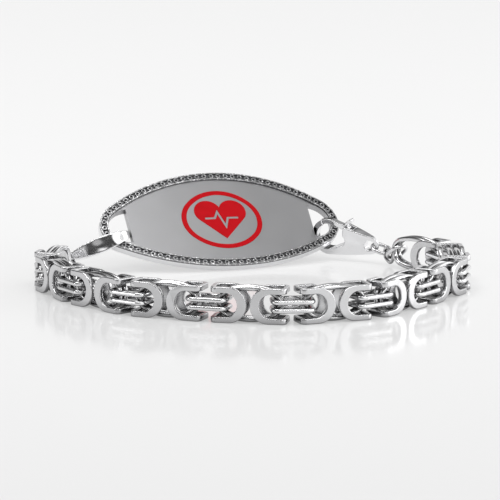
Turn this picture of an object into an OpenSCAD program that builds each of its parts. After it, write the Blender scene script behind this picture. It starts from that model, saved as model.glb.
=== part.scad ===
// Medical alert bracelet: a flat-link chain, two claw clasps and a curved oval tag.
// It lies as a closed loop on a table, the front of the chain towards -Y and the tag at +Y.
// Millimetres, +Z up, origin at the middle of the loop on the table.

/* [Folded links] */
// Height of a folded link, which is the height of the chain
link_h = 5.8; // [5.4:0.1:6.4]
// Length of a folded link, from its bend to its round end
fold_len = 5.9; // [5.6:0.1:6.4]
// Depth of a folded link, over both leaves
fold_depth = 4.4; // [4.2:0.1:5.2]
// Thickness of the flat band that a folded link is bent from
leaf_t = 0.75; // [0.6:0.05:0.8]
// Width of the band along its straight arms
arm_w = 0.95; // [0.8:0.05:1.05]
// Width of the band at its round end
round_w = 1.5; // [1.2:0.05:1.7]
// Outer radius of the bend, seen from above
bend_r = 1; // [0.8:0.05:1.2]
// Gap between the bends of the two folded links of one unit
bend_gap = 1.2; // [0.9:0.05:1.4]

/* [Bar rings] */
// Length of a bar ring along the chain, outside
bar_len = 7.2; // [7.1:0.1:8]
// Depth of a bar ring, outside
bar_depth = 4.6; // [4.5:0.1:5]
// Diameter of the wire of a bar ring
bar_wire = 0.8; // [0.6:0.05:0.9]
// Height between the two bar rings of a unit, between wire centres
bar_rise = 1.36; // [1.2:0.02:1.6]

/* [Oval rings] */
// Length of an oval ring between the centres of its end wires
oval_run = 9.8; // [9.6:0.05:11]
// Height of an oval ring, outside
oval_h = 5.95; // [5.8:0.05:6.6]
// Diameter of the wire of an oval ring
oval_wire = 0.9; // [0.7:0.05:0.95]
// Distance between the two oval rings of a pair, between wire centres
oval_space = 1.24; // [1.16:0.02:1.4]
// Radius of an oval ring's ends, at the wire's centre
oval_end_r = 2.1; // [1.8:0.05:2.3]
// Distance from a unit's centre to the end wires that pass through its bar rings
pivot_reach = 1.88; // [1.84:0.02:2]

/* [Tag] */
// Length of the tag, straight across
tag_len = 42.6; // [40:0.2:46]
// Width of the tag
tag_w = 20; // [18:0.2:22]
// Thickness of the plate
tag_t = 1.2; // [1:0.05:1.6]
// Radius of the wrist curve, at the tag's face
tag_curve_r = 140; // [90:5:200]
// Radius of the outline at the tag's two ends
tag_end_r = 5.1; // [4.4:0.1:5.6]
// Width of the raised border
border_w = 1.35; // [1.2:0.05:1.7]
// Height of the raised border above the face
border_rise = 0.3; // [0.2:0.05:0.45]
// Width of the border's two rails
rail_w = 0.22; // [0.15:0.01:0.3]
// Width of flat metal between the border and a slot's rounded side
slot_gap = 0.1; // [0.05:0.01:0.3]
// Length of a slot, from its straight edge to its rounded side
slot_reach = 3.55; // [3.4:0.05:3.6]
// Height of a slot at its straight edge
slot_h = 7; // [6:0.1:7.4]

/* [Enamel] */
// Length of the oval enamel band
band_len = 14.2; // [12:0.1:16]
// Height of the oval enamel band
band_h = 12.4; // [11:0.1:14]
// Width of the enamel band
band_w = 0.85; // [0.6:0.05:1.2]
// Height of the enamel heart
heart_h = 8.2; // [6:0.1:9]
// Width of the metal pulse line left across the heart
pulse_w = 0.42; // [0.3:0.02:0.6]
// Depth of the enamel
enamel_t = 0.25; // [0.2:0.01:0.4]

/* [Clasps] */
// Distance from the middle of a clasp's mouth to the middle of its eye
clasp_run = 7.8; // [7.4:0.1:9]
// Radius of the round end of the mouth
mouth_r = 2.15; // [2.05:0.05:2.5]
// Width of the hook's arm
hook_w = 0.95; // [0.8:0.05:1.2]
// Greatest thickness of a clasp
clasp_t = 2.6; // [2.4:0.1:3.2]
// Radius of the hole in the eye
eye_r = 0.9; // [0.8:0.05:1]
// Width of metal round the eye's hole
eye_wall = 0.7; // [0.6:0.05:0.9]
// Thickness of the lever
lever_t = 1.1; // [0.9:0.05:1.3]
// Width of the lever's arm
lever_w = 0.85; // [0.7:0.05:1]
// Diameter of the pin that the lever turns on
pin_d = 0.7; // [0.6:0.05:0.8]

/* [Rings] */
// Radius of the round jump ring at its inner side
jump_r = 1.85; // [1.75:0.05:2.2]
// Diameter of the wire of the jump ring and of the extension links
link_wire = 0.6; // [0.5:0.05:0.7]
// Inner length of a small extension link
small_len = 2.4; // [2.3:0.05:2.8]
// Inner width of a small extension link
small_w = 1.6; // [1.5:0.05:1.8]
// Inner length of the end link, which holds the last oval rings
end_len = 3.1; // [3:0.05:3.6]
// Inner width of the end link
end_w = 2.3; // [2.2:0.05:2.6]

/* [Clearances] */
// Play between links that pull on each other
link_play = 0.06; // [0.04:0.01:0.1]
// Play round the lever's pin
pin_play = 0.05; // [0.03:0.01:0.08]
// Play at the lever's sides and tip
lever_play = 0.1; // [0.06:0.01:0.15]
// Play between the enamel and the walls of its recess
enamel_play = 0.03; // [0.02:0.01:0.05]

/* [Hidden] */
$fn = 64;

// Directions of the ten oval ring pairs from the left end of the chain to the right, in degrees
ROUTE = [-105.1, -65.1, -48.1, -22.4, -11.0, 21.3, 53.2, 60.7, 95.1, 135.2];
UNITS = len(ROUTE) - 1;

// Place of the middle of the tag's face, and its turn, lean and roll
TAG_X = -4.74;
TAG_Y = 51.8;
TAG_YAW = 20;
TAG_LEAN = 47.5;
TAG_ROLL = 2;
// Points of the rim that the clasps hold, as shares of the tag's half length and half width
LEFT_HOLD = [-0.93, -0.24];
RIGHT_HOLD = [0.9, -0.41];
// Direction of each clasp from its eye to its mouth, as a turn and a rise, and its roll
LEFT_AIM = [15.5, 19];
LEFT_ROLL = -15.3;
RIGHT_AIM = [153, 8];
RIGHT_ROLL = 79.7;
// Place of the held rim in each clasp's mouth, along the clasp and across it
LEFT_SEAT = [-0.33, -0.38];
RIGHT_SEAT = [-0.3, -1.07];
// Radius of a clasp's two rounded sides, and where along it they are thickest
SIDE_R = 20;
SIDE_X = -2.5;
// Turn, rise and roll of the jump ring and of the three extension links
JUMP_AIM = [-101.5, 0.5, -42.4];
SMALL_AIM_1 = [-20.5, -17, 21.5];
SMALL_AIM_2 = [-64, -20.5, -90];
END_AIM = [-50, 37.5, -8.5];
// Shift that puts the middle of the loop's box at the origin
LOOP_X = 0.36;
LOOP_Y = 29.58;

// Outer radii of a clasp's hook and eye, and the narrow end of its mouth
hook_r = mouth_r + hook_w;
eye_out_r = eye_r + eye_wall;
mouth_run = 2.4;
mouth_back_r = 1;
// Pivot of the lever: metal between it and the mouth, and its distance from the clasp's middle line
PIVOT_WALL = 0.35;
PIVOT_SIDE = 1.25;
PIVOT = [-mouth_run - mouth_back_r - PIVOT_WALL, PIVOT_SIDE];
// Width of the lever's root round its pin, its height beyond the pivot, and the radius that it makes
ROOT_WALL = 0.5;
ROOT_RISE = 0.95;
root_r = pin_d / 2 + ROOT_WALL;
// Length of the lever's slot below the pivot, and depth of the pin's ends in the cheeks
SLOT_RUN = 3;
PIN_SEAT = 0.2;
// Height of the lever's foot above the middle line, and how far its tip laps the mouth's edge
LEVER_FOOT = 0.6;
LEVER_LAP = 0.4;
// Gate: its start as a share of the mouth's narrow end, and its two ends as shares of the mouth and hook
GATE = [0.4, 0.5, 1.5];
// Angle at which the hook's tip ends, and the tab's radius, width and place beyond the pivot
TIP_ANGLE = 62;
TAB_R = 1.9;
TAB_W = 0.65;
TAB_SHIFT = 0.9;
// Corner points of the part of the tab's round that stands out
TAB_CORNERS = [[0, 0.2], [3, 0.2], [3, 1.4], [0.9, 3]];
// Border scrolls: gap to the rails, space between two, width of their line and drop below the rails
SCROLL_GAP = 0.04;
SCROLL_SPACE = 0.43;
SCROLL_WIRE = 0.18;
SCROLL_DROP = 0.06;
// Depth by which raised work is set into the plate below it
ROOT_DEPTH = 0.1;
// Small step where a long side runs into a round end, so that the two cross cleanly
MEET_STEP = 0.02;
// How far a cutting shape reaches past what it cuts
CUT_SPARE = 1;
// Least inner radius of the bend of a folded link
CREASE_R = 0.1;
// Distance from the tag's middle to the straight edge of a slot
slot_start = tag_len / 2 - border_w - slot_gap - slot_reach;
// Roundness of the enamel band's ends
STADIUM_ROUND = 0.86;
// Heart: radius and place of its lobes as shares of its height, and how a gap grows at its point
LOBE = [0.29, 0.27, 0.21];
LOBE_STEPS = 24;
POINT_GROWTH = 1.3;
// Corner points of the pulse line, as shares of the heart's height
PULSE = [[-0.36, 0.04], [-0.15, 0.04], [-0.07, 0.2], [0.05, -0.18], [0.13, 0.04], [0.36, 0.04]];
// Angle that an arch runs into an oval ring's ends, and how much finer its wire is drawn there
JOINT_LAP = 1;
JOINT_STEP = 0.02;

// Unit vector of a turn in the plane, and of a turn and a rise in space
function heading(turn) = [cos(turn), sin(turn)];
function aim(a) = [cos(a[0]) * cos(a[1]), sin(a[0]) * cos(a[1]), sin(a[1])];
// Unit vector across a run in the plane, to its left
function across(run) = [-run[1], run[0]] / norm(run);

// Chain: where each oval pair starts when the route's turns are all opened or closed by one share
function turned(i, share) = ROUTE[i] * share;
function pair_start(i, share) = i == 0 ? [0, 0] :
  pair_end(i - 1, share) + 2 * pivot_reach * heading((turned(i - 1, share) + turned(i, share)) / 2);
function pair_end(i, share) = pair_start(i, share) + oval_run * heading(turned(i, share));
// The share at which the chain just spans from the jump ring to the end link
function closing_share(low, high, steps) =
  let (mid = (low + high) / 2)
  steps == 0 ? mid :
  norm(pair_end(UNITS, mid)) > chain_span ? closing_share(mid, high, steps - 1)
                                          : closing_share(low, mid, steps - 1);

// Tag: turn a point of its own frame (along, out of the face, up) into the loop's frame
function roll_y(p, a) = [p[0] * cos(a) + p[2] * sin(a), p[1], -p[0] * sin(a) + p[2] * cos(a)];
function roll_x(p, a) = [p[0], p[1] * cos(a) - p[2] * sin(a), p[1] * sin(a) + p[2] * cos(a)];
function roll_z(p, a) = [p[0] * cos(a) - p[1] * sin(a), p[0] * sin(a) + p[1] * cos(a), p[2]];
function tag_turn(p) = roll_z(roll_x(roll_y(p, TAG_ROLL), -TAG_LEAN), TAG_YAW);
function tag_sag(u) = tag_curve_r - sqrt(tag_curve_r * tag_curve_r - u * u);
function rim_point(t, back) =
  let (u = tag_len / 2 * cos(t)) tag_turn([u, tag_sag(u) + back, tag_w / 2 * sin(t)]);
// Height of the tag's middle at which its lowest edge rests on the table
tag_z = -min([for (t = [180:3:360]) min(rim_point(t, 0)[2], rim_point(t, tag_t)[2])]);
TAG_MIDDLE = [TAG_X, TAG_Y, tag_z];
function hold_point(share) =
  let (u = tag_len / 2 * share[0], v = tag_w / 2 * share[1])
  TAG_MIDDLE + tag_turn([u, tag_sag(u) + (tag_t - border_rise) / 2, v]);

// Clasps: a point of a clasp's own frame, turned by its roll, rise and turn
function clasp_turn(p, a, roll) = roll_z(roll_y(roll_x(p, roll), -a[1]), a[0]);
left_mouth = hold_point(LEFT_HOLD) - clasp_turn([LEFT_SEAT[0], LEFT_SEAT[1], 0], LEFT_AIM, LEFT_ROLL);
right_mouth = hold_point(RIGHT_HOLD) - clasp_turn([RIGHT_SEAT[0], RIGHT_SEAT[1], 0], RIGHT_AIM, RIGHT_ROLL);
left_eye = left_mouth - clasp_run * aim(LEFT_AIM);
right_eye = right_mouth - clasp_run * aim(RIGHT_AIM);

// Rings: each hangs by its inner side on the one before it
eye_half_t = clasp_t / 2 - (SIDE_R - sqrt(pow(SIDE_R, 2) - pow(clasp_run + SIDE_X, 2)));
function eye_hang(line_r) = eye_r - link_wire / 2 - link_play - (line_r - sqrt(pow(line_r, 2) - pow(eye_half_t, 2)));
// A point of a ring's own plane, along the ring and across it
function aimed_point(p, a) = clasp_turn([p[0], p[1], 0], a, a[2]);
jump_line_r = jump_r + link_wire / 2;
jump_hang = eye_hang(jump_line_r);
jump_middle = left_eye + (jump_hang + jump_line_r) * aim(JUMP_AIM);
// Distance from the jump ring's middle to the first oval rings' end wires
JUMP_CATCH = [0.54, -0.1];
left_catch = jump_middle + aimed_point(JUMP_CATCH, JUMP_AIM);
small_half = (small_len + link_wire) / 2;
small_hang = small_len / 2 - link_wire / 2 - link_play;
end_half = (end_len + link_wire) / 2;
small_1 = right_eye + (eye_hang((small_w + link_wire) / 2) + small_half) * aim(SMALL_AIM_1);
small_2 = small_1 + small_hang * aim(SMALL_AIM_1) + small_half * aim(SMALL_AIM_2);
end_middle = small_2 + small_hang * aim(SMALL_AIM_2) + end_half * aim(END_AIM);
END_CATCH = [-0.02, -0.09];
right_catch = end_middle + aimed_point(END_CATCH, END_AIM);

// The chain's own frame, closed between the two catches
chain_gap = [right_catch[0] - left_catch[0], right_catch[1] - left_catch[1]];
chain_span = norm(chain_gap);
open_share = closing_share(0.6, 1.3, 30);
chain_way = pair_end(UNITS, open_share);
chain_turn = atan2(chain_gap[1], chain_gap[0]) - atan2(chain_way[1], chain_way[0]);

function way_of(i) = turned(i, open_share);
function unit_way(i) = (way_of(i - 1) + way_of(i)) / 2;
function unit_place(i) = pair_end(i - 1, open_share) + pivot_reach * heading(unit_way(i));

module on_loop() {
  translate([-LOOP_X, -LOOP_Y, 0]) children();
}

module on_chain(place, way) {
  on_loop() translate([left_catch[0], left_catch[1], 0]) rotate([0, 0, chain_turn])
    translate([place[0], place[1], 0]) rotate([0, 0, way]) children();
}

module on_tag() {
  on_loop() translate(TAG_MIDDLE)
    rotate([0, 0, TAG_YAW]) rotate([-TAG_LEAN, 0, 0]) rotate([0, TAG_ROLL, 0]) children();
}

module aimed(place, a, roll) {
  on_loop() translate(place) rotate([0, -a[1], a[0]]) rotate([roll, 0, 0]) children();
}

// A closed ring of round wire in the XY plane: two straight runs and two half rounds
module wire_oval(half_run, r, wire) {
  for (end = [0, 180]) rotate([0, 0, end]) {
    translate([half_run, 0, 0]) rotate([0, 0, -90]) rotate_extrude(angle = 180)
      translate([r, 0]) circle(d = wire, $fn = 24);
    translate([-half_run, -r, 0]) rotate([0, 90, 0]) cylinder(h = 2 * half_run, d = wire, $fn = 24);
  }
}

// A part of a round wire ring, from one angle to another
module wire_arc(r, from, to, wire) {
  rotate([0, 0, from]) rotate_extrude(angle = to - from) translate([r, 0]) circle(d = wire, $fn = 24);
}

// Folded link: a flat closed band with a round end, bent double over the rings inside it.
// Its own frame starts at its bend, with the round end towards +X.
module folded_link() {
  round_r = link_h / 2;
  hole_r = round_r - arm_w;
  color("gainsboro") intersection() {
    rotate([90, 0, 0]) linear_extrude(fold_depth + CUT_SPARE, center = true) difference() {
      union() {
        square([fold_len - round_r, link_h]);
        translate([fold_len - round_r, round_r]) circle(round_r);
      }
      translate([-CUT_SPARE, arm_w])
        square([fold_len - round_w - hole_r + CUT_SPARE, link_h - 2 * arm_w]);
      translate([fold_len - round_w - hole_r, round_r]) circle(hole_r);
    }
    linear_extrude(link_h) difference() {
      bend_plan(bend_r, fold_depth, 0);
      bend_plan(max(bend_r - leaf_t, CREASE_R), fold_depth - 2 * leaf_t, leaf_t);
    }
  }
}

// Outline of the bend seen from above: a band end with two rounded corners
module bend_plan(r, depth, start) {
  union() {
    translate([start + r, -depth / 2]) square([fold_len - start - r + CUT_SPARE, depth]);
    translate([start, r - depth / 2]) square([r + MEET_STEP, depth - 2 * r]);
    for (side = [-1, 1]) translate([start + r, side * (depth / 2 - r)]) circle(r);
  }
}

// Bar rings: two rounded rectangles of wire, one above the other, in the middle of a unit
module bar_rings() {
  corner_r = 1.2 * bar_wire;
  half_l = (bar_len - bar_wire) / 2;
  half_d = (bar_depth - bar_wire) / 2;
  color("silver") for (side = [-1, 1]) translate([0, 0, link_h / 2 + side * bar_rise / 2])
    for (half = [0, 180]) rotate([0, 0, half]) {
      translate([half_l - corner_r, -half_d, 0]) rotate([0, -90, 0])
        cylinder(h = 2 * (half_l - corner_r), d = bar_wire, $fn = 24);
      translate([half_l, corner_r - half_d, 0]) rotate([-90, 0, 0])
        cylinder(h = 2 * (half_d - corner_r), d = bar_wire, $fn = 24);
      translate([half_l - corner_r, half_d - corner_r, 0]) wire_arc(corner_r, 0, 90, bar_wire);
      translate([half_l - corner_r, corner_r - half_d, 0]) wire_arc(corner_r, -90, 0, bar_wire);
    }
}

// Oval ring: two round ends joined by two flatter arches, standing on edge
module oval_ring() {
  a = oval_run / 2;
  b = (oval_h - oval_wire) / 2;
  arch_r = (a * a + b * b - 2 * a * oval_end_r) / (2 * (b - oval_end_r));
  meet = atan2(arch_r - b, a - oval_end_r);
  translate([oval_run / 2, 0, oval_h / 2]) rotate([90, 0, 0]) for (half = [0, 180]) rotate([0, 0, half]) {
    translate([a - oval_end_r, 0, 0]) wire_arc(oval_end_r, -meet, meet, oval_wire);
    translate([0, b - arch_r, 0])
      wire_arc(arch_r, meet - JOINT_LAP, 180 - meet + JOINT_LAP, oval_wire - 2 * JOINT_STEP);
  }
}

// Oval rings: a pair side by side, drawn together at a free end by the ring that holds them
module oval_rings(pinch_start, pinch_end) {
  tight = (oval_wire + 2 * link_play) / 2;
  wide = oval_space / 2;
  from = pinch_start ? tight : wide;
  to = pinch_end ? tight : wide;
  color("silver") for (side = [-1, 1]) translate([0, side * from, 0])
    rotate([0, 0, side * atan2(to - from, oval_run)]) oval_ring();
}

// Tag outline: two end rounds joined by two long arcs, or the same line set inwards
function long_r() = (pow(tag_len, 2) / 4 + pow(tag_w, 2) / 4 - tag_len * tag_end_r) / (tag_w - 2 * tag_end_r);
module tag_outline(inset) {
  arc_r = long_r();
  meet = atan2(arc_r - tag_w / 2, tag_len / 2 - tag_end_r);
  join = tag_len / 2 - tag_end_r + (tag_end_r - inset) * cos(meet);
  intersection() {
    square([2 * join, tag_w], center = true);
    translate([0, tag_w / 2 - arc_r]) circle(arc_r - inset - MEET_STEP, $fn = 180);
    translate([0, arc_r - tag_w / 2]) circle(arc_r - inset - MEET_STEP, $fn = 180);
  }
  for (side = [-1, 1]) translate([side * (tag_len / 2 - tag_end_r), 0]) circle(tag_end_r - inset);
}

// A layer of the tag that follows its wrist curve, from one height above the face to another
module curved_layer(low, high) {
  back = tag_sag(tag_len / 2) + tag_t + CUT_SPARE;
  front = border_rise + 2 * CUT_SPARE;
  intersection() {
    translate([0, tag_curve_r, 0]) difference() {
      cylinder(r = tag_curve_r + high, h = tag_w + CUT_SPARE, center = true, $fn = 360);
      cylinder(r = tag_curve_r + low, h = tag_w + 2 * CUT_SPARE, center = true, $fn = 360);
    }
    translate([0, back, 0]) rotate([90, 0, 0]) linear_extrude(back + front) children();
  }
}

module slot_outlines() {
  r = (pow(slot_h / 2, 2) + pow(slot_reach, 2)) / (2 * slot_reach);
  for (side = [0, 180]) rotate([0, 0, side]) intersection() {
    translate([slot_start + slot_reach - r, 0]) circle(r);
    translate([slot_start, -tag_w / 2]) square([tag_len, tag_w]);
  }
}

// Border motif: small scroll rings between the rails, at even steps along the outline
module border_scrolls() {
  mid = tag_len / 2 - tag_end_r;
  line_r = tag_end_r - border_w / 2;
  arc_r = long_r();
  meet = atan2(arc_r - tag_w / 2, mid);
  long_line = arc_r - border_w / 2;
  scroll_r = border_w / 2 - rail_w - SCROLL_GAP;
  step = 2 * scroll_r + SCROLL_SPACE;
  ends = round(line_r * meet * PI / 90 / step);
  longs = round(long_line * (180 - 2 * meet) * PI / 180 / step);
  for (half = [0, 180]) rotate([0, 0, half]) {
    for (i = [0:ends - 1]) translate([mid, 0])
      rotate([0, 0, -meet + (i + 0.5) * 2 * meet / ends]) translate([line_r, 0]) scroll_ring(scroll_r);
    for (i = [0:longs - 1]) translate([0, tag_w / 2 - arc_r])
      rotate([0, 0, meet + (i + 0.5) * (180 - 2 * meet) / longs]) translate([long_line, 0])
        scroll_ring(scroll_r);
  }
}

module scroll_ring(r) {
  difference() {
    circle(r, $fn = 20);
    circle(r - SCROLL_WIRE, $fn = 16);
  }
}

// Enamel: an oval band round a heart, which a pulse line of bare metal crosses
module band_outline(play) {
  difference() {
    stadium(band_len / 2 + play, band_h / 2 + play);
    stadium(band_len / 2 - band_w - play, band_h / 2 - band_w - play);
  }
}

// An upright oval of two end rounds and two flatter arcs, given by its half length and half height
module stadium(a, b) {
  end_r = STADIUM_ROUND * b;
  arc_r = (a * a + b * b - 2 * a * end_r) / (2 * (b - end_r));
  meet = atan2(arc_r - b, a - end_r);
  join = a - end_r + end_r * cos(meet);
  intersection() {
    square([2 * join, 2 * b], center = true);
    translate([0, b - arc_r]) circle(arc_r - MEET_STEP, $fn = 120);
    translate([0, arc_r - b]) circle(arc_r - MEET_STEP, $fn = 120);
  }
  for (side = [-1, 1]) translate([side * (a - end_r), 0]) circle(end_r);
}

// Heart outline: a point, and two round lobes drawn in even steps from the cleft to the point's sides
module heart_outline(play) {
  lobe_r = heart_h * LOBE[0] + play;
  lobe = [heart_h * LOBE[1], heart_h * LOBE[2]];
  tip = heart_h / 2 + POINT_GROWTH * play;
  reach = norm([lobe[0], lobe[1] + tip]);
  last = atan2(lobe[1] + tip, lobe[0]) - asin(lobe_r / reach) - 90;
  first = 180 - acos(lobe[0] / lobe_r);
  right = [for (i = [0:LOBE_STEPS]) lobe + lobe_r * heading(first + (last - first) * i / LOBE_STEPS)];
  polygon(concat(
    [[0, -tip]],
    [for (i = [LOBE_STEPS:-1:0]) right[i]],
    [for (i = [1:LOBE_STEPS]) [-right[i][0], right[i][1]]]
  ));
}

// Pulse line of one width along its corner points, mitred at each corner
module pulse_line(width) {
  last = len(PULSE) - 1;
  sides = [for (i = [0:last - 1]) across(PULSE[i + 1] - PULSE[i])];
  corners = [for (i = [0:last])
    let (before = sides[max(i - 1, 0)], after = sides[min(i, last - 1)])
    (before + after) / (1 + before * after) * width / 2];
  polygon(concat(
    [for (i = [0:last]) PULSE[i] * heart_h + corners[i]],
    [for (i = [last:-1:0]) PULSE[i] * heart_h - corners[i]]
  ));
}

// Tag: the curved plate with a slot at each end, its raised border, and the enamel's recesses
module tag() {
  color("lightgray") on_tag() difference() {
    union() {
      curved_layer(-tag_t, 0) difference() {
        tag_outline(0);
        slot_outlines();
      }
      curved_layer(-ROOT_DEPTH, border_rise) {
        difference() { tag_outline(0); tag_outline(rail_w); }
        difference() { tag_outline(border_w - rail_w); tag_outline(border_w); }
      }
      curved_layer(-ROOT_DEPTH, border_rise - SCROLL_DROP) border_scrolls();
    }
    curved_layer(-enamel_t - enamel_play, CUT_SPARE) {
      band_outline(enamel_play);
      difference() {
        heart_outline(enamel_play);
        pulse_line(pulse_w - 2 * enamel_play);
      }
    }
  }
}

module enamel_band() {
  color("crimson") on_tag() curved_layer(-enamel_t, enamel_play) band_outline(0);
}

module enamel_heart() {
  color("crimson") on_tag() curved_layer(-enamel_t, enamel_play) difference() {
    heart_outline(0);
    pulse_line(pulse_w);
  }
}

// Teardrop between a large and a small round, with straight sides that touch both
module teardrop(r1, r2, run) {
  lean = acos((r1 - r2) / run);
  large = (r1 - MEET_STEP) * [cos(lean), sin(lean)];
  small = (r2 - MEET_STEP) * [cos(lean), sin(lean)];
  circle(r1);
  translate([-run, 0]) circle(r2);
  polygon([
    [-large[0], large[1]],
    [-run - small[0], small[1]],
    [-run - small[0], -small[1]],
    [-large[0], -large[1]]
  ]);
}

// The side profile of a clasp is thick in the middle and thins to its eye and tip
module clasp_thickness(thick) {
  rotate([90, 0, 0]) linear_extrude(4 * hook_r, center = true) intersection() {
    translate([SIDE_X, thick / 2 - SIDE_R]) circle(SIDE_R, $fn = 180);
    translate([SIDE_X, SIDE_R - thick / 2]) circle(SIDE_R, $fn = 180);
  }
}

// Clasp body: eye, cheeks, hook and the pin across its lever slot
module clasp_body() {
  color("silver") {
    intersection() {
      difference() {
        linear_extrude(clasp_t + CUT_SPARE, center = true) difference() {
          teardrop(hook_r, eye_out_r, clasp_run);
          teardrop(mouth_r, mouth_back_r, mouth_run);
          translate([-clasp_run, 0]) circle(eye_r);
          gate_window();
        }
        linear_extrude(lever_t + 2 * lever_play, center = true) {
          translate(PIVOT) circle(root_r + lever_play);
          translate(PIVOT) square([hook_r * 2, hook_r * 2]);
          translate([PIVOT[0], PIVOT[1] - root_r - lever_play]) square([SLOT_RUN, root_r + lever_play]);
          translate([PIVOT[0] - root_r - lever_play, PIVOT[1]]) square([root_r + lever_play, hook_r]);
        }
      }
      clasp_thickness(clasp_t);
    }
    translate([PIVOT[0], PIVOT[1], 0])
      cylinder(d = pin_d, h = lever_t + 2 * lever_play + 2 * PIN_SEAT, center = true);
  }
}

// The open side of the mouth, which the lever closes
module gate_window() {
  polygon([
    [PIVOT[0] + root_r, mouth_back_r * GATE[0]],
    mouth_r * GATE[1] * heading(TIP_ANGLE),
    hook_r * GATE[2] * heading(TIP_ANGLE),
    [PIVOT[0] + root_r, hook_r * GATE[2]]
  ]);
}

// Clasp lever: root with its bore, curved arm flush with the clasp's side, and thumb tab
module clasp_lever() {
  color("gainsboro") linear_extrude(lever_t, center = true) difference() {
    union() {
      intersection() {
        difference() {
          teardrop(hook_r, eye_out_r, clasp_run);
          teardrop(hook_r - lever_w, eye_out_r - lever_w, clasp_run);
        }
        polygon([
          [PIVOT[0], LEVER_FOOT],
          (mouth_r - LEVER_LAP) * heading(TIP_ANGLE) - [lever_play, 0],
          hook_r * GATE[2] * heading(TIP_ANGLE) - [lever_play, 0],
          [PIVOT[0], hook_r * GATE[2]]
        ]);
      }
      translate(PIVOT) circle(root_r);
      translate([PIVOT[0] - root_r, PIVOT[1]]) square([2 * root_r, ROOT_RISE]);
      lever_tab();
    }
    translate(PIVOT) circle(pin_d / 2 + pin_play);
  }
}

// Thumb tab: a short curved horn that stands out from the lever's root
module lever_tab() {
  translate(PIVOT + [-TAB_SHIFT, TAB_SHIFT]) intersection() {
    difference() {
      circle(TAB_R);
      circle(TAB_R - TAB_W);
    }
    polygon(TAB_CORNERS);
  }
}

module left_clasp() {
  aimed(left_mouth, LEFT_AIM, LEFT_ROLL) children();
}

module right_clasp() {
  aimed(right_mouth, RIGHT_AIM, RIGHT_ROLL) children();
}

module left_jump_ring() {
  color("silver") aimed(jump_middle, JUMP_AIM, JUMP_AIM[2])
    rotate_extrude() translate([jump_line_r, 0]) circle(d = link_wire, $fn = 24);
}

module small_link(place, a) {
  color("silver") aimed(place, a, a[2])
    wire_oval((small_len - small_w) / 2, (small_w + link_wire) / 2, link_wire);
}

module extension_end_link() {
  color("silver") aimed(end_middle, END_AIM, END_AIM[2])
    wire_oval((end_len - end_w) / 2, (end_w + link_wire) / 2, link_wire);
}

// The left folded link of a unit lies along the oval pair before it, the right one along the next
for (i = [1:UNITS]) {
  on_chain(pair_end(i - 1, open_share), way_of(i - 1))
      translate([pivot_reach - bend_gap / 2, 0, 0]) rotate([0, 0, 180]) folded_link();
  on_chain(pair_start(i, open_share), way_of(i))
      translate([bend_gap / 2 - pivot_reach, 0, 0]) folded_link();
  on_chain(unit_place(i), unit_way(i)) bar_rings();
}
for (i = [0:UNITS])
  on_chain(pair_start(i, open_share), way_of(i)) oval_rings(i == 0, i == UNITS);
tag();
enamel_band();
enamel_heart();
left_clasp() clasp_body();  // left_clasp_body
left_clasp() clasp_lever();  // left_clasp_lever
right_clasp() clasp_body();  // right_clasp_body
right_clasp() clasp_lever();  // right_clasp_lever
left_jump_ring();
small_link(small_1, SMALL_AIM_1);  // extension_link_1
small_link(small_2, SMALL_AIM_2);  // extension_link_2
extension_end_link();
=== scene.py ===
import math

import bpy
from mathutils import Matrix, Vector

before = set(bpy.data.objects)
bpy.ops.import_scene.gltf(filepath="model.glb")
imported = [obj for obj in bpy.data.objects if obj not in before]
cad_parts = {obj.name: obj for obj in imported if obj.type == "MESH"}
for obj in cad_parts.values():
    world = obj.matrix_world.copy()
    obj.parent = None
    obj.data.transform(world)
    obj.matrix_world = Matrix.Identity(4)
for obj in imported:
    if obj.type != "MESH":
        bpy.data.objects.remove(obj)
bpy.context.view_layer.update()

# Camera: it stands in front of the chain, ten degrees above the table, behind a long lens
# that flattens the loop. The front of the chain lies low in the frame, and the tag above it.
scene = bpy.context.scene
camera_data = bpy.data.cameras.new("camera")
camera_data.sensor_width = 36.0
camera_data.lens = 322.0
camera_data.clip_start = 0.01
camera_data.clip_end = 20.0
camera = bpy.data.objects.new("camera", camera_data)
scene.collection.objects.link(camera)
camera.location = (-0.00036, -0.72874, 0.13547)
camera.rotation_euler = (math.radians(79.95), 0, 0)
scene.camera = camera
scene.view_settings.view_transform = "Standard"


# Table: a slab of glossy white acrylic, lit from below as for a catalogue picture, so the
# shadows under the bracelet stay faint. Its polish mirrors the links' feet.


def feed(socket, value):
    """Gives a node's input a plain value, or links it to the output that feeds it."""
    if isinstance(value, bpy.types.NodeSocket):
        socket.id_data.links.new(value, socket)
    else:
        socket.default_value = value


def tune(node, **values):
    """Each value is one of the node's settings, or goes to its input of that name."""
    for name, value in values.items():
        if hasattr(node, name):
            setattr(node, name, value)
        else:
            feed(node.inputs[name.replace("_", " ")], value)


def place(tree, kind, **values):
    """Adds a node of this kind, tunes it and returns its outputs."""
    node = tree.nodes.new("ShaderNode" + kind)
    tune(node, **values)
    return node.outputs


def new_material(name):
    material = bpy.data.materials.new(name)
    material.use_nodes = True
    return material, material.node_tree, material.node_tree.nodes["Principled BSDF"]


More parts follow.
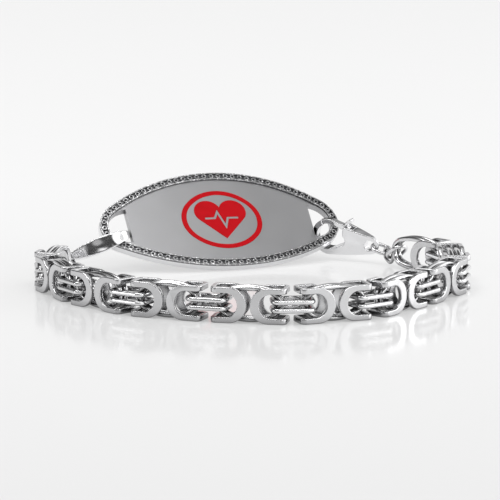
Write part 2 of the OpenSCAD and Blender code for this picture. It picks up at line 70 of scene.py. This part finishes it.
slab_half = 3.0
slab_drop = 0.00002  # keeps the slab's face clear of the links that stand on it
slab_mesh = bpy.data.meshes.new("table_top")
slab_mesh.from_pydata(
    [(-slab_half, -slab_half, 0), (slab_half, -slab_half, 0),
     (slab_half, slab_half, 0), (-slab_half, slab_half, 0)], [], [(0, 1, 2, 3)])
slab = bpy.data.objects.new("table_top", slab_mesh)
scene.collection.objects.link(slab)
slab.location.z = -slab_drop
white_slab, tree, shader = new_material("white_slab")
on_slab = place(tree, "SeparateXYZ", Vector=place(tree, "TexCoord")["Object"])
# Painted light: the slab's own glow, brighter towards the back, stands in for a lamp under it.
glow = place(tree, "MapRange", Value=on_slab["Y"], From_Min=-0.32, From_Max=0.10,
             To_Min=0.245, To_Max=0.405)
tune(shader, Base_Color=(0.46, 0.46, 0.46, 1), Roughness=0.11, Specular_IOR_Level=0.10,
     Emission_Strength=1.0, Emission_Color=glow["Result"])
slab_mesh.materials.append(white_slab)

# Studio: a white tent stands behind the bracelet, brighter on its right, under a grey roof. A dark
# gap lies under the roof, and the camera's side is near black but for one bright band, so that
# the polished metal shows white, grey and near-black in its curves.
world = bpy.data.worlds.new("studio_tent")
world.use_nodes = True
scene.world = world
tree = world.node_tree
towards = place(tree, "SeparateXYZ", Vector=place(tree, "TexCoord")["Generated"])


def tones_by_height(*tones):
    """The tent's tones, each with its height: 0 level with the table, 1 overhead."""
    node = tree.nodes.new("ShaderNodeValToRGB")
    feed(node.inputs["Fac"], towards["Z"])
    steps = node.color_ramp.elements
    for step, (height, tone) in zip((steps[0], steps[1]), (tones[0], tones[-1])):
        step.position = height
        step.color = (tone, tone, tone, 1)
    for height, tone in tones[1:-1]:
        steps.new(height).color = (tone, tone, tone, 1)
    return node.outputs["Color"]


def eased(value, start, end, low=0.0, high=1.0):
    """Goes smoothly from low to high as the value goes from start to end."""
    return place(tree, "MapRange", interpolation_type="SMOOTHSTEP", Value=value,
                 From_Min=start, From_Max=end, To_Min=low, To_Max=high)["Result"]


def mixed(tree, factor, first, second, blend="MIX", kind="RGBA"):
    """A colour, or a number if kind is FLOAT, from the first to the second by the factor."""
    return place(tree, "Mix", data_type=kind, blend_type=blend,
                 Factor=factor, A=first, B=second)["Result"]


far_side = tones_by_height(
    (0.0, 0.60), (0.12, 0.62), (0.22, 0.82), (0.30, 0.85), (0.40, 0.12), (0.62, 0.06), (1.0, 0.5))
camera_side = tones_by_height(
    (0.0, 0.45), (0.10, 0.45), (0.15, 0.06), (0.29, 0.05), (0.34, 1.4), (0.39, 1.4),
    (0.44, 0.04), (0.86, 0.02), (1.0, 0.30))
right_side = tones_by_height(
    (0.0, 0.95), (0.19, 0.95), (0.27, 1.75), (0.36, 1.75), (0.48, 0.95), (1.0, 0.95))
roof = eased(towards["X"], -0.05, 0.65, 0.77, 0.28)
left_shade = eased(towards["X"], -0.9, -0.1, 0.72, 1.0)
tent = mixed(tree, eased(towards["Y"], -0.45, 0.15), camera_side, far_side)
tent = mixed(tree, eased(towards["X"], 0.05, 0.60, 0.0, 0.9), tent, right_side)
tent = mixed(tree, eased(towards["Z"], 0.74, 0.88), tent, roof)
tent = mixed(tree, 1.0, tent, left_shade, "MULTIPLY")
tune(tree.nodes["Background"], Color=tent, Strength=1.0)

for name, stand, aim_at, size, watts in (
    ("roof_softbox", (-0.30, 0.05, 0.80), (0, 0, 0), (0.4, 0.4), 1.6),
    ("front_softbox", (0.30, -0.86, 0.50), (0, 0, 0.01), (1.0, 0.10), 1.2),
    ("side_softbox", (-0.80, -0.25, 0.25), (0, 0, 0.01), (0.15, 0.3), 0.5),
    ("right_softbox", (0.69, 0.0, 0.20), (0, 0, 0.01), (0.55, 0.36), 1.4),
    ("edge_strip", (0.0, -0.30, 0.90), (0, 0, 0), (1.3, 0.07), 2.2),
):
    lamp = bpy.data.lights.new(name, "AREA")
    lamp.shape = "RECTANGLE"
    lamp.size, lamp.size_y = size
    lamp.energy = watts
    light = bpy.data.objects.new(name, lamp)
    scene.collection.objects.link(light)
    light.location = stand
    light.rotation_euler = (Vector(aim_at) - Vector(stand)).to_track_quat("-Z", "Y").to_euler()

# Folded links: flat closed bands of stainless strip, bent double over the rings inside them. Their
# faces are satin, and their edges are rounded and bright from tumbling.
MM = 0.001
units = 9  # of the chain, each of two folded links round one set of bar rings
link_rounding = 0.17 * MM

# The finishing marks that every steel piece has, each in its own amounts: cloudy smears and fine
# rub lines in the colour, the gloss and the ripple, and a broad wave. Painted shade darkens the
# crevices.
marks_and_shade = bpy.data.node_groups.new("finish_marks_and_painted_shade", "ShaderNodeTree")
for kind, names in (
    ("NodeSocketColor", ("Dark", "Light")),
    ("NodeSocketFloat", ("Smoothest", "Roughest", "Smear Scale", "Ripple", "Wave", "Grime Reach")),
):
    for name in names:
        marks_and_shade.interface.new_socket(name, in_out="INPUT", socket_type=kind)
for name, kind in (("Color", "NodeSocketColor"), ("Roughness", "NodeSocketFloat"),
                   ("Normal", "NodeSocketVector")):
    marks_and_shade.interface.new_socket(name, in_out="OUTPUT", socket_type=kind)
given = marks_and_shade.nodes.new("NodeGroupInput").outputs
on_piece = place(marks_and_shade, "TexCoord")["Object"]
smears = place(marks_and_shade, "TexNoise", Vector=on_piece, Scale=given["Smear Scale"],
               Detail=4.0, Roughness=0.6)
slanted = place(marks_and_shade, "Mapping", Vector=on_piece, Rotation=(0.5, 0.2, 0.4),
                Scale=(1.0, 1.0, 9.0))
rub_lines = place(marks_and_shade, "TexNoise", Vector=slanted["Vector"], Scale=5200.0,
                  Detail=3.0, Roughness=0.7)
rubbed = mixed(marks_and_shade, 0.45, smears["Fac"], rub_lines["Fac"], kind="FLOAT")
gloss = place(marks_and_shade, "MapRange", Value=rubbed, From_Min=0.35, From_Max=0.65,
              To_Min=given["Smoothest"], To_Max=given["Roughest"])
# Painted shade: the colour is darkened where neighbouring parts close a spot in, as shade falls in
# crevices.
open_air = place(marks_and_shade, "AmbientOcclusion", samples=12, Distance=given["Grime Reach"])
painted_shade = place(marks_and_shade, "MapRange", Value=open_air["AO"], From_Min=0.25, From_Max=0.85,
              To_Min=0.22, To_Max=1.0)
tint = mixed(marks_and_shade, rubbed, given["Dark"], given["Light"])
tint_with_painted_shade = mixed(marks_and_shade, 1.0, tint, painted_shade["Result"], "MULTIPLY")
hollows = place(marks_and_shade, "TexNoise", Vector=on_piece, Scale=240.0, Detail=1.0)
waved = place(marks_and_shade, "Bump", Height=hollows["Fac"], Distance=given["Wave"])
rippled = place(marks_and_shade, "Bump", Height=rubbed, Strength=given["Ripple"],
                Distance=0.02 * MM, Normal=waved["Normal"])
tune(marks_and_shade.nodes.new("NodeGroupOutput"), Color=tint_with_painted_shade, Roughness=gloss["Result"],
     Normal=rippled["Normal"])


def steel(name, **amounts):
    """Polished steel with its own amounts of the finishing marks and of painted shade in its
    crevices.
    """
    material, tree, shader = new_material(name)
    marks = tree.nodes.new("ShaderNodeGroup")
    marks.name = "marks"
    marks.node_tree = marks_and_shade
    tune(marks, **amounts)
    tune(shader, Metallic=1.0, Base_Color=marks.outputs["Color"],
         Roughness=marks.outputs["Roughness"], Normal=marks.outputs["Normal"])
    return material


def dress(node, material):
    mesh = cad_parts[node].data
    mesh.materials.clear()
    mesh.materials.append(material)


def soften(node, width):
    """Rounds a piece's sharp edges, after its faces are welded and its flats made whole."""
    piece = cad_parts[node]
    weld = piece.modifiers.new("join", "WELD")
    weld.merge_threshold = 0.002 * MM
    flat = piece.modifiers.new("flat", "DECIMATE")
    flat.decimate_type = "DISSOLVE"
    flat.angle_limit = math.radians(0.6)
    edge = piece.modifiers.new("edge", "BEVEL")
    edge.width = width
    edge.segments = 3
    edge.limit_method = "ANGLE"
    edge.angle_limit = math.radians(35)
    edge.harden_normals = True


folded_steel = steel(
    "folded_steel", Dark=(0.60, 0.60, 0.61, 1), Light=(0.74, 0.74, 0.75, 1), Smoothest=0.15,
    Roughest=0.25, Smear_Scale=700.0, Ripple=0.12, Wave=0.12 * MM, Grime_Reach=2.8 * MM)
for i in range(1, 2 * units + 1):
    dress(f"folded_link_{i}", folded_steel)
    soften(f"folded_link_{i}", link_rounding)

# Bar rings and oval rings: drawn round wire, bent and closed by a flush weld, then polished bright.
# The bar rings lie flat in pairs and the oval rings stand on edge in pairs.
wire_steel = steel(
    "wire_steel", Dark=(0.74, 0.74, 0.75, 1), Light=(0.84, 0.84, 0.85, 1), Smoothest=0.10,
    Roughest=0.18, Smear_Scale=900.0, Ripple=0.06, Wave=0.05 * MM, Grime_Reach=2.8 * MM)
for i in range(1, units + 1):
    dress(f"bar_rings_{i}", wire_steel)
for i in range(units + 1):
    dress(f"oval_rings_{i}", wire_steel)

# Tag: a stamped and curved stainless plate with a satin face. Its raised border of small scrolls
# between two rails has painted shade in the hollows, and in places on top it is rubbed bright, with
# painted glints.
tag_steel = steel(
    "tag_steel", Dark=(0.485, 0.485, 0.495, 1), Light=(0.515, 0.515, 0.525, 1), Smoothest=0.28,
    Roughest=0.32, Smear_Scale=260.0, Ripple=0.04, Wave=0.02 * MM, Grime_Reach=1.0 * MM)
tree = tag_steel.node_tree
shader, marks = tree.nodes["Principled BSDF"], tree.nodes["marks"].outputs
# Where the middle of the tag is, and how the tag is turned and leans back.
tag_spot = (-0.00510, 0.02222, 0.007665)
tag_turn = (Matrix.Rotation(math.radians(20), 3, "Z") @ Matrix.Rotation(math.radians(-47.5), 3, "X")
            @ Matrix.Rotation(math.radians(2), 3, "Y"))
# The plate's outline in millimetres: two long arcs, and a round end that meets them on each side.
bend_radius, arc_radius, half_width = 140.0, 34.33, 10.0
end_centre, end_radius, border_width = 16.2, 5.1, 1.35
meeting = math.atan2(arc_radius - half_width, end_centre)


def reckon(kind, *numbers):
    """One step of arithmetic, worked out all over the plate."""
    step = tree.nodes.new("ShaderNodeMath")
    step.operation = kind
    for socket, number in zip(step.inputs, numbers):
        feed(socket, number)
    return step.outputs["Value"]


def length_of(x, y):
    return reckon("SQRT", reckon("ADD", reckon("MULTIPLY", x, x), reckon("MULTIPLY", y, y)))


# Where each spot is on the plate: its height over the curved face, and its inset from the rim.
on_plate = place(tree, "Mapping", vector_type="TEXTURE", Vector=place(tree, "TexCoord")["Object"],
                 Location=tag_spot, Rotation=tag_turn.to_euler("XYZ"), Scale=(MM, MM, MM))
spot = place(tree, "SeparateXYZ", Vector=on_plate["Vector"])
along, deep, across = spot["X"], spot["Y"], spot["Z"]
height = reckon("SUBTRACT", length_of(along, reckon("SUBTRACT", deep, bend_radius)), bend_radius)
off_middle = reckon("ABSOLUTE", across)
in_arc = reckon("SUBTRACT", arc_radius,
                length_of(along, reckon("ADD", off_middle, arc_radius - half_width)))
past_centre = reckon("SUBTRACT", reckon("ABSOLUTE", along), end_centre)
in_end = reckon("SUBTRACT", end_radius, length_of(past_centre, across))
at_end = reckon("GREATER_THAN", reckon("MULTIPLY", past_centre, math.sin(meeting)),
                reckon("MULTIPLY", off_middle, math.cos(meeting)))
inset = reckon("ADD", reckon("MULTIPLY", at_end, in_end),
               reckon("MULTIPLY", reckon("SUBTRACT", 1.0, at_end), in_arc))

# The border: painted shade in the hollows, and tops that run from grey to bright where they are
# worn, with painted glints.
border_reach = border_width + 0.03  # with a little over, so that its inner rail is all covered
border_foot = -0.12
in_border = reckon("MULTIPLY", reckon("LESS_THAN", inset, border_reach),
                   reckon("GREATER_THAN", height, border_foot))
# Painted shade: the lower a spot of the border lies, the darker it is painted.
hollow_shade = place(tree, "MapRange", Value=height, From_Min=0.04, From_Max=0.23,
                To_Min=1.0, To_Max=0.0)
hollow_shade_mask = reckon("MULTIPLY", in_border, hollow_shade["Result"])
glints = place(tree, "TexNoise", Vector=on_plate["Vector"], Scale=3.1, Detail=2.0)
# Wear and painted glints: scattered spots on the border's tops are painted near white.
wear_and_glints = place(tree, "MapRange", Value=glints["Fac"], From_Min=0.52, From_Max=0.64,
             To_Min=0.10, To_Max=1.0)
top_tone = mixed(tree, wear_and_glints["Result"], (0.29, 0.29, 0.295, 1), (0.95, 0.95, 0.96, 1))
border_tone = mixed(tree, hollow_shade_mask, top_tone, (0.125, 0.125, 0.13, 1))
face_tone = mixed(tree, in_border, marks["Color"], border_tone)
chased = place(tree, "Bump", Height=glints["Fac"], Strength=in_border, Distance=0.09 * MM,
               Normal=marks["Normal"])

# The sheared edge of the plate, under the border, gets a painted highlight in near white.
edge_depth, edge_top = 0.15, -0.06
edge_highlight_mask = reckon("MULTIPLY", reckon("LESS_THAN", inset, edge_depth),
                 reckon("LESS_THAN", height, edge_top))
tune(shader, Base_Color=mixed(tree, edge_highlight_mask, face_tone, (0.90, 0.90, 0.91, 1)),
     Roughness=mixed(tree, in_border, marks["Roughness"], 0.30, kind="FLOAT"),
     Normal=chased["Normal"])
dress("tag", tag_steel)

# Enamel: red glass-like enamel that fills the oval band and the heart and stands just proud
# of the steel. A pulse line of bare metal crosses the heart.
red_enamel, tree, shader = new_material("red_enamel")
flow = place(tree, "TexNoise", Vector=place(tree, "TexCoord")["Object"], Scale=500.0, Detail=2.0)
tune(shader, Base_Color=mixed(tree, flow["Fac"], (0.43, 0.0, 0.003, 1), (0.54, 0.002, 0.008, 1)),
     Roughness=0.35, Specular_IOR_Level=0.12)
for node in ("enamel_band", "enamel_heart"):
    dress(node, red_enamel)

# Clasps: cast claw clasps, tumbled until their edges are round and their faces a little wavy, then
# polished bright. Each has a body with an eye and a hook, and a sprung lever on a pin, and each
# holds the tag's rim through a slot.
clasp_steel = steel(
    "clasp_steel", Dark=(0.80, 0.80, 0.81, 1), Light=(0.90, 0.90, 0.91, 1), Smoothest=0.07,
    Roughest=0.14, Smear_Scale=800.0, Ripple=0.04, Wave=0.45 * MM, Grime_Reach=0.7 * MM)


def tumble(node, grain, passes):
    """Covers a piece with an even skin of this grain, then wears its edges round."""
    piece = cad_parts[node]
    skin = piece.modifiers.new("skin", "REMESH")
    skin.mode = "VOXEL"
    skin.voxel_size = grain
    skin.use_smooth_shade = True
    worn_edge = piece.modifiers.new("worn_edge", "SMOOTH")
    worn_edge.factor = 0.5
    worn_edge.iterations = passes


for part, grain, passes in (("body", 0.053 * MM, 40), ("lever", 0.05 * MM, 14)):
    for side in ("left", "right"):
        dress(f"{side}_clasp_{part}", clasp_steel)
        tumble(f"{side}_clasp_{part}", grain, passes)

# Jump ring and extension links: fine round stainless wire, bent round and closed after they are
# threaded through the clasps and the chain's ends.
for node in ("left_jump_ring", "extension_link_1", "extension_link_2", "extension_end_link"):
    dress(node, wire_steel)
